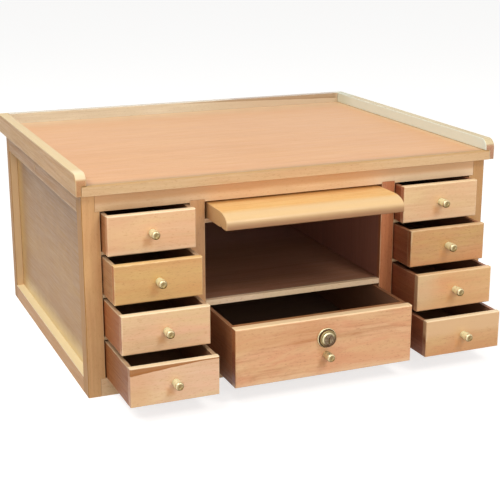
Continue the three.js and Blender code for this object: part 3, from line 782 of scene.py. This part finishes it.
frontBase = {
    "worn": "f8e0b6", "wear": 0.002, "wearAmount": 0.5, "hiddenBack": 50 * mm, "figure": 0.2, "streak": 0.8,
    "drift": 0.8, "fleck": 0.35, "endShade": 1.0, "endTint": "dcb09c", "coat": 0.35, "arris": 0.3 * mm,
}
# a front's edge colour is its painted top highlight, and its low colour painted light along the bottom
frontLooks = {
    "left_drawer_1": {
        **shades("e9c198", "d19d6b", "e8b388", "ebc790"),
        "endTint": "c69b85", "left": "e0a880", "low": "f4d6b0",
    },
    "left_drawer_2": {**shades("d8aa70", "ba8448", "d4985a", "d6ae6c"), "edge": "e6c184", "low": "e6ba7c"},
    "left_drawer_3": {**shades("e8c098", "cca272", "eab28e", "e4c28e"), "endTint": "c28c72", "low": "f4c898"},
    "left_drawer_4": {
        **shades("e4c09b", "cc9e72", "e7b695", "e6c897"), "endTint": "a77150", "left": "d49a68",
    },
    "right_drawer_1": {**shades("e7c397", "cfa172", "e5b389", "e9c993"), "edge": "f0d6ac", "low": "f2d4ac"},
    "right_drawer_2": {**shades("ce9e6e", "ac7846", "c88c58", "c8a062"), "edge": "d8b488", "warm": "dc9862"},
    "right_drawer_3": {
        **shades("deb07c", "c08e58", "de9e6e", "dab27a"),
        "edge": "e8c496", "warm": "dc9862", "left": "d4c098", "low": "efbc8c",
    },
    "right_drawer_4": {
        **shades("d6a876", "b88452", "d09466", "d4ae78"),
        "endTint": "b9958e", "warm": "c08448", "upper": "dcb488",
    },
    "lock_drawer": {
        **shades("e1b489", "bd8254", "d9986e", "ddb281"),
        "figure": 0.25, "streak": 1.7, "ringGap": 0.009, "swirl": 0.06, "drift": 0.85, "wearAmount": 0.15,
        "endTint": "9b6a5e", "edge": "fbdeb2", "low": "f0cca4",
    },
}
frontTones = {  # where the tones lie that some fronts have; the low one is painted light along the bottom edge
    "left": {"amount": 0.4, "between": (40, 8)},
    "upper": {"amount": 0.8, "between": (-2, 8)},
    "warm": {"amount": 0.35, "between": (0, -23.9)},
    "low": {"amount": 0.5, "between": (8, 0.6)},
}
# painted highlight: the top face of each front paler; a front's own edge colour replaces this one
frontTopHighlight = {"colour": "f6e2bc", "amount": 0.8, "between": (-1.4, -0.5)}
# the right fronts' end faces darker to match their tray sides: end grain, deepened as painted shade
rightEndTint = "cba2a0"
frontStreak = {
    "colour": "9e601f", "amount": 1.0, "start": (0, 0, -1.6), "length": 118 * mm, "width": 8 * mm,
    "taper": 1.5, "core": 0.9,
}
lockTint = {"colour": "c8874f", "amount": 0.28, "soft": (35, 50, 14), "width": 95 * mm}
innerBoardLook = {"colour": "c0aa98", "amount": 0.95, "depth": 12 * mm}
knobShadowLook = {  # a painted shadow on the front, below and left of a knob
    "colour": "d2904f", "amount": 0.55, "soft": (7, 7, 7), "offset": (-6.5, 0, -10.5), "reach": (8, 50, 8),
}
lockKnobShadowLook = {**knobShadowLook, "colour": "b0743a", "offset": (-5, 0, -10.5)}

for drawer, look in frontLooks.items():
    locked = drawer == "lock_drawer"
    low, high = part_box(drawer + "_front")
    middle = (low.z + high.z) / 2
    lines = {"left": ("x", low.x), "upper": ("z", middle), "warm": ("z", middle), "low": ("z", low.z)}
    touches = [
        faded(*lines[key], {**place, "colour": look[key]}) for key, place in frontTones.items() if key in look
    ]
    if drawer == "left_drawer_4":
        streakStart = Vector((low.x, low.y, high.z)) + Vector(frontStreak["start"]) * mm
        touches.append(streaked(streakStart, (1, 0, 0), (0, 0, 1), frontStreak))
    highlightColour = look.get("edge", frontTopHighlight["colour"])
    touches.append(faded("z", high.z, {**frontTopHighlight, "colour": highlightColour}))
    if locked:
        margin = Vector(lockTint["soft"]) * mm
        tintLow = Vector((low.x - margin.x, low.y - margin.y, middle))
        tintHigh = Vector((low.x + lockTint["width"], high.y, high.z)) + margin
        touches.insert(0, tintedInBox(tintLow, tintHigh, lockTint))
        touches.append(lipped(low.y, innerBoardLook))
    knobShadow = lockKnobShadowLook if locked else knobShadowLook
    knobLow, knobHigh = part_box(drawer + "_knob")
    patch = (knobLow + knobHigh) / 2 + Vector(knobShadow["offset"]) * mm
    reach = Vector(knobShadow["reach"]) * mm
    touches.append(tintedInBox(patch - reach, patch + reach, knobShadow))
    endTint = rightEndTint if drawer.startswith("right") else frontBase["endTint"]
    dress(drawer + "_front", {**frontBase, "endTint": endTint, **look}, "x", *touches)
print("drawer fronts dressed")


# Drawer trays: sides, back and floor as separate boards

trayLook = {
    **shades("b07a50", "8a5634", "a46842", "a8784a"), "worn": "dcbc94",
    "figure": 0.25, "streak": 0.8, "fleck": 0.35, "wearAmount": 0.5, "bump": 0.25, "coat": 0.08, "gloss": 0.2,
    "endTint": "a08060",
}
trayLooks = {
    "left": trayLook,
    # painted shade: darker copies of the tray wood for the right bank and the lock tray
    "right": {**trayLook, **shades("a86646", "80482e", "9c563a", "9c603a"), "worn": "c8a07c"},
    "lock": {**trayLook, **shades("9c6543", "764830", "8b5739", "93613b"), "worn": "a8805e"},
}
trayTones = {
    "left_drawer_2": shades("bf8f64", "966542", "b27a54", "b68c5e"),
    "left_drawer_3": shades("ae6e43", "894d2b", "a25d36", "a66c3d"),
    "left_drawer_4": shades("9f6539", "7d4624", "94552e", "986334"),
}
trayFloorLook = {**trayLook, "pale": "a87450", "dark": "865636"}
# the insides of the trays darker: partly a stain, partly painted shade
trayInsides = {
    "left": {"wall": "947860", "floor": "947860", "amount": 0.6},
    "right": {"wall": "947860", "floor": "947860", "amount": 0.6},
    "lock": {"wall": "a77d63", "floor": "746658", "amount": 0.7},
}
trayEdge = {"colour": "9a7a5c", "amount": 0.3, "between": (-1.2, -0.4)}
trayEdges = {
    "left": {**trayEdge, "colour": "c4b090", "amount": 0.55}, "right": trayEdge,
    "lock": {**trayEdge, "colour": "8a6a4e"},
}
smallTray = {
    "wall": 5 * mm, "floor": 4 * mm, "lift": 5 * mm, "joint": 0.1 * mm, "close": 0.08 * mm,
    "arris": 0.35 * mm, "floorArris": 0.2 * mm, "soft": 1,
}
lockTray = {**smallTray, "floor": 5 * mm}


def addBoard(shape, low, high, arris, slot):
    corners = bmesh.ops.create_cube(shape, size=1.0)["verts"]
    for corner in corners:
        corner.co = Vector([low[i] if corner.co[i] < 0 else high[i] for i in range(3)])
    edges = list({edge for corner in corners for edge in corner.link_edges})
    rounds = arrisForm["segments"]
    made = bmesh.ops.bevel(shape, geom=edges, offset=arris, segments=rounds, profile=0.5, affect="EDGES")
    for face in {face for corner in made["verts"] for face in corner.link_faces}:
        face.material_index = slot


def newPiece(name, shape, materials, body, replaced=(), place=(0, 0, 0)):
    mesh = bpy.data.meshes.new(name)
    shape.to_mesh(mesh)
    shape.free()
    for mat in materials:
        mesh.materials.append(mat)
    for face in mesh.polygons:
        face.use_smooth = True
    made = bpy.data.objects.new(name, mesh)
    made.location = place
    bpy.context.scene.collection.objects.link(made)
    normals = made.modifiers.new("normals", "WEIGHTED_NORMAL")
    normals.keep_sharp = False
    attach(made, body)
    if replaced:
        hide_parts(*replaced)


def makeTray(drawer, tray):
    node = drawer + "_tray"
    low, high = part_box(node)
    wall, joint, arris = tray["wall"], tray["joint"], tray["arris"]
    floorLow = low.z + tray["lift"]
    floorTop = floorLow + tray["floor"]
    inLeft, inRight, inRear = low.x + wall, high.x - wall, high.y - wall
    front = low.y - tray["close"]  # the sides close up to the front
    shape = bmesh.new()
    addBoard(shape, (low.x, front, low.z), (inLeft, high.y, high.z), arris, 0)
    addBoard(shape, (inRight, front, low.z), high, arris, 0)
    addBoard(shape, (inLeft + joint, inRear, floorLow), (inRight - joint, high.y, high.z), arris, 1)
    floorHigh = (inRight - joint, inRear - joint, floorTop)
    addBoard(shape, (inLeft + joint, low.y, floorLow), floorHigh, tray["floorArris"], 2)
    bank = drawer.split("_")[0]
    look = {**trayLooks[bank], **trayTones.get(drawer, {})}
    inner = {"amount": trayInsides[bank]["amount"], "soft": (tray["soft"],) * 3}
    soft = tray["soft"] * mm
    stainLow = Vector((inLeft - soft, low.y - soft, floorTop - soft))
    stainHigh = Vector((inRight + soft, inRear + soft, high.z - arris))
    wallInside = tintedInBox(stainLow, stainHigh, {**inner, "colour": trayInsides[bank]["wall"]})
    floorInside = tintedInBox(stainLow, stainHigh, {**inner, "colour": trayInsides[bank]["floor"]})
    bare = faded("z", high.z, trayEdges[bank])
    materials = [
        woodMaterial(drawer + "_tray_side", look, "y", (low, high), wallInside, bare),
        woodMaterial(drawer + "_tray_back", look, "x", (low, high), wallInside, bare),
        woodMaterial(drawer + "_tray_floor", trayFloorLook, "x", (low, high), floorInside),
    ]
    newPiece(drawer + "_box", shape, materials, drawer, [node])


for drawer in frontLooks:
    makeTray(drawer, lockTray if drawer == "lock_drawer" else smallTray)
print("drawer trays made")


# Brass: tarnished in patches, with painted shade on the underside and a painted dark reflection on the faces
# that look forward

patchNoise = {"scale": 420.0, "detail": 4.0, "rough": 0.65}
turningNoise = {"Scale": 5200.0, "Detail": 1.0}
tarnishAndShadeLook = {
    # under darkens the underside as painted shade, flat darkens the forward faces as a painted dark
    # reflection
    "patchiness": 0.7, "upward": (-0.5, 0.0, 0.87), "under": (0.5, -0.65), "flat": (0.9, 0.99),
    "roughness": (0.3, 0.75, 0.34, 0.52), "bump": 0.08, "bumpDepth": 0.2 * mm,
}
# painted highlight: a paler brass for the knob shafts than for their heads
litShaftLook = {
    "bright": "f2f2c8", "dull": "a08c54", "under": 0.8, "flat": 0.0, "radius": 4.6 * mm, "metal": 0.5,
}
brassLooks = {
    "knobBrass": {
        "bright": "dccca4", "dull": "725a2a", "under": 1.0, "flat": 0.85, "radius": 5.3 * mm, "metal": 0.8,
    },
    "litShaftBrass": litShaftLook,
    # painted shade: the shaft of the lock's knob darker than the other shafts
    "lockShaftBrass": {**litShaftLook, "bright": "d2c598", "dull": "7c6438", "metal": 0.7},
    "bezelBrass": {
        "bright": "dccfa8", "dull": "7a6346", "under": 0.85, "flat": 0.15, "radius": 12.6 * mm, "metal": 0.9,
    },
    # painted shade: dark brass in the groove round the lock's face
    "shadedGrooveBrass": {
        "bright": "6e563e", "dull": "3e2e20", "under": 0.6, "flat": 0.2, "radius": 12.6 * mm, "metal": 0.9,
    },
    # painted reflection: the ring of the lock barrel round its face made darker
    "capBrass": {
        "bright": "96865c", "dull": "54402e", "under": 1.0, "flat": 0.45, "radius": 10.8 * mm, "metal": 1.0,
    },
    "lockBrass": {
        "bright": "e6dab2", "dull": "5e4838", "under": 1.0, "flat": 0.9, "radius": 7.2 * mm, "metal": 1.0,
    },
}


def makeTarnishAndShade():
    takes = {
        "Position": "Vector", "Normal": "Vector", "Bright": "Color", "Dull": "Color",
        "Under": "Float", "Flat": "Float", "Radius": "Float",
    }
    group, take, give = startGroup("tarnishAndShade", takes, finishGives)
    patches = cloud(group, take["Position"], patchNoise)[0]
    height = vector(group, "DOT_PRODUCT", take["Position"], tarnishAndShadeLook["upward"])
    under = ease(group, calc(group, "DIVIDE", height, take["Radius"]), *tarnishAndShadeLook["under"])
    facing = vector(group, "DOT_PRODUCT", take["Normal"], (0.0, -1.0, 0.0))
    flat = calc(group, "MULTIPLY", ease(group, facing, *tarnishAndShadeLook["flat"]), take["Flat"])
    dull = calc(group, "MAXIMUM", calc(group, "MULTIPLY", under, take["Under"]), flat)
    patched = calc(group, "SUBTRACT", patches, 0.5)
    dull = calc(group, "MULTIPLY_ADD", patched, tarnishAndShadeLook["patchiness"], dull, clamp=True)
    group.links.new(blend(group, dull, take["Bright"], take["Dull"]), give["Color"])
    group.links.new(ease(group, patches, *tarnishAndShadeLook["roughness"]), give["Roughness"])
    place = put(group, "ShaderNodeSeparateXYZ", {0: take["Position"]}).outputs
    turning = put(group, "ShaderNodeTexNoise", {"W": place[1], **turningNoise}, noise_dimensions="1D")
    group.links.new(turning.outputs[0], give["Height"])
    return group


tarnishAndShade = makeTarnishAndShade()


def brassMaterial(name, look):
    mat, tree = startMaterial(name)
    where = tree.nodes.new("ShaderNodeTexCoord").outputs
    worn = useGroup(
        tree, tarnishAndShade, Position=where["Object"], Normal=where["Normal"],
        Bright=tone(look["bright"]), Dull=tone(look["dull"]),
        Under=look["under"], Flat=look["flat"], Radius=look["radius"],
    )
    bump = put(tree, "ShaderNodeBump", {
        "Strength": tarnishAndShadeLook["bump"], "Distance": tarnishAndShadeLook["bumpDepth"], "Height": worn["Height"],
    })
    shader = put(tree, "ShaderNodeBsdfPrincipled", {
        "Base Color": worn["Color"], "Metallic": look["metal"], "Roughness": worn["Roughness"],
        "Normal": bump.outputs[0],
    })
    put(tree, "ShaderNodeOutputMaterial", {"Surface": shader.outputs[0]})
    return mat


brass = {name: brassMaterial(name, look) for name, look in brassLooks.items()}


def turnedShape(profile, segments, closed=False, slots=()):
    # a profile of radius and distance ahead in mm, turned about the -Y direction, with a finish for each band
    shape = bmesh.new()
    angles = [2 * math.pi * i / segments for i in range(segments)]
    rings = []
    for radius, ahead in profile:
        if radius == 0:
            rings.append([shape.verts.new((0, -ahead * mm, 0))])
        else:
            ring = [Vector((radius * math.cos(a), -ahead, radius * math.sin(a))) * mm for a in angles]
            rings.append([shape.verts.new(corner) for corner in ring])
    for band, (first, second) in enumerate(zip(rings, rings[1:] + (rings[:1] if closed else []))):
        for i in range(segments):
            j = (i + 1) % segments
            corners = [first[i % len(first)], first[j % len(first)]]
            corners += [second[j % len(second)], second[i % len(second)]]
            corners = list(dict.fromkeys(corners))  # a ring at the tip is one point
            if len(corners) > 2:
                shape.faces.new(corners).material_index = slots[band] if slots else 0
    bmesh.ops.recalc_face_normals(shape, faces=shape.faces)
    return shape


def footOf(node, length):
    # where a turned piece of this length in mm stands
    low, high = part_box(node)
    return Vector(((low.x + high.x) / 2, low.y + length * mm, (low.z + high.z) / 2))


# Knobs

knobShape = {  # radii and distances ahead in mm
    "gap": 0.1, "foot": 4.6, "footEdge": 0.2, "footHeight": 2.8, "chamfer": 0.2, "waist": 4.25,
    "waistAt": 4.6, "neck": 10, "head": 5.3, "shoulder": 9.4, "brow": 12.6, "face": 3.3, "dish": 0.5,
    "dishEdge": (0.86, 0.1), "dishFloor": 0.5, "length": 16, "steps": 12, "segments": 48,
}


def knobProfile(knob):
    foot, chamfer, gap, edge = knob["foot"], knob["chamfer"], knob["gap"], knob["footEdge"]
    head, face, end = knob["head"], knob["face"], knob["length"]
    profile = [(0, gap), (foot - edge, gap), (foot, gap + edge)]
    profile += [(foot, knob["footHeight"] - chamfer), (foot - chamfer, knob["footHeight"])]
    quarter = [math.pi / 2 * step / knob["steps"] for step in range(knob["steps"])]
    for angle in quarter:
        swell = (head - knob["waist"]) * math.sin(angle)
        before = (knob["shoulder"] - knob["waistAt"]) * math.cos(angle)
        profile.append((knob["waist"] + swell, knob["shoulder"] - before))
    for angle in quarter:
        rise = (end - knob["brow"]) * math.sin(angle)
        profile.append((face + (head - face) * math.cos(angle), knob["brow"] + rise))
    inner, drop = knob["dishEdge"]
    floor = end - knob["dish"]
    profile += [(face, end), (inner * face, end - drop), (knob["dishFloor"] * face, floor), (0, floor)]
    return profile, [0 if ahead < knob["neck"] else 1 for radius, ahead in profile]


knobPoints, knobSlots = knobProfile(knobShape)
for drawer in frontLooks:
    foot = footOf(drawer + "_knob", knobShape["length"])
    shape = turnedShape(knobPoints, knobShape["segments"], False, knobSlots)
    finishes = [brass["lockShaftBrass" if drawer == "lock_drawer" else "litShaftBrass"], brass["knobBrass"]]
    newPiece(drawer + "_turned_knob", shape, finishes, drawer, [drawer + "_knob"], foot)


# Lock

lockBands = {  # radius and distance ahead in mm, from the tail to the face
    "bezelBrass": [
        (6.1, -24), (9.4, -24), (9.4, 0.1), (12.4, 0.1), (12.6, 0.4),
        (12.6, 1), (12.3, 1.6), (11.9, 2.1), (11.6, 2.2),
    ],
    "shadedGrooveBrass": [(11.2, 2), (10.9, 1.4), (10.8, 1), (10.7, 1)],
    "capBrass": [(10.7, 4.8), (10.5, 5.5), (10.1, 5.9), (9.6, 6)],
    "lockBrass": [(8.2, 6), (7.9, 6.2), (7.5, 7), (7.2, 7.3), (6.9, 7.4), (6.25, 7.4), (6.1, 7.2)],
}
lockShape = {"length": 7.4, "segments": 72, "plugArris": 0.25 * mm}

lockFoot = footOf("lock_body", lockShape["length"])
lockPoints = [point for band in lockBands.values() for point in band]
lockSlots = [slot for slot, band in enumerate(lockBands.values()) for point in band]
lockTurned = turnedShape(lockPoints, lockShape["segments"], True, lockSlots)
lockFinishes = [brass[name] for name in lockBands]
newPiece("lock_barrel", lockTurned, lockFinishes, "lock_drawer", ["lock_body"], lockFoot)
nodes["lock_plug"].material_slots[0].material = brass["lockBrass"]
easeArrises(nodes["lock_plug"], lockShape["plugArris"])
print("brass made")


# Wooden plugs in the side top rails, and pins round the back panel

plugShape = {"radius": 4.0, "rise": 0.25, "y": 83.6, "z": 236.0, "segments": 40}
plugLook = {
    "pale": "c29a68", "dark": "a8784a", "blush": "bc8f5c",
    "coat": 0.1, "gloss": 0.16, "figure": 0.3, "ringGap": 0.0012, "wearAmount": 0.3,
}
pinShape = {"radius": 1.6, "rise": 0.35, "inset": 6.0, "across": 9, "down": 5, "segments": 20}
discForm = {"gap": 0.02, "dome": [(1, 0.6), (0.86, 1), (0.4, 1.06), (0, 1.08)]}  # shares of radius and rise


def discShape(disc, normal):
    profile = [(0, discForm["gap"]), (disc["radius"], discForm["gap"])]
    profile += [(out * disc["radius"], up * disc["rise"]) for out, up in discForm["dome"]]
    shape = turnedShape(profile, disc["segments"])
    turn = Vector((0, -1, 0)).rotation_difference(Vector(normal)).to_matrix()
    bmesh.ops.rotate(shape, cent=(0, 0, 0), matrix=turn, verts=shape.verts)
    return shape


def spread(low, high, count):
    return [low + (high - low) * i / (count - 1) for i in range(count)]


for side, sign in banks.items():
    railLow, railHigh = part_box(side + "_side_top_rail")
    place = Vector((railLow.x if sign < 0 else railHigh.x, plugShape["y"] * mm, plugShape["z"] * mm))
    reach = Vector((plugShape["radius"],) * 3) * mm
    plugWood = woodMaterial(side + "_rail_plug", plugLook, "z", (-reach, reach))
    plug = discShape(plugShape, (sign, 0, 0))
    newPiece(side + "_rail_plug", plug, [plugWood], "case", (), place)

low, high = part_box("back_panel")
inset = Vector((pinShape["inset"],) * 3) * mm
pinLow, pinHigh = low + inset, high - inset
pinSpots = [(x, z) for x in spread(pinLow.x, pinHigh.x, pinShape["across"]) for z in (pinLow.z, pinHigh.z)]
pinRows = spread(pinLow.z, pinHigh.z, pinShape["down"])[1:-1]  # between the corners
pinSpots += [(x, z) for z in pinRows for x in (pinLow.x, pinHigh.x)]
for number, (x, z) in enumerate(pinSpots, 1):
    pin = discShape(pinShape, (0, 1, 0))
    newPiece(f"back_pin_{number}", pin, [brass["lockBrass"]], "case", (), Vector((x, high.y, z)))
print("plugs and pins made")
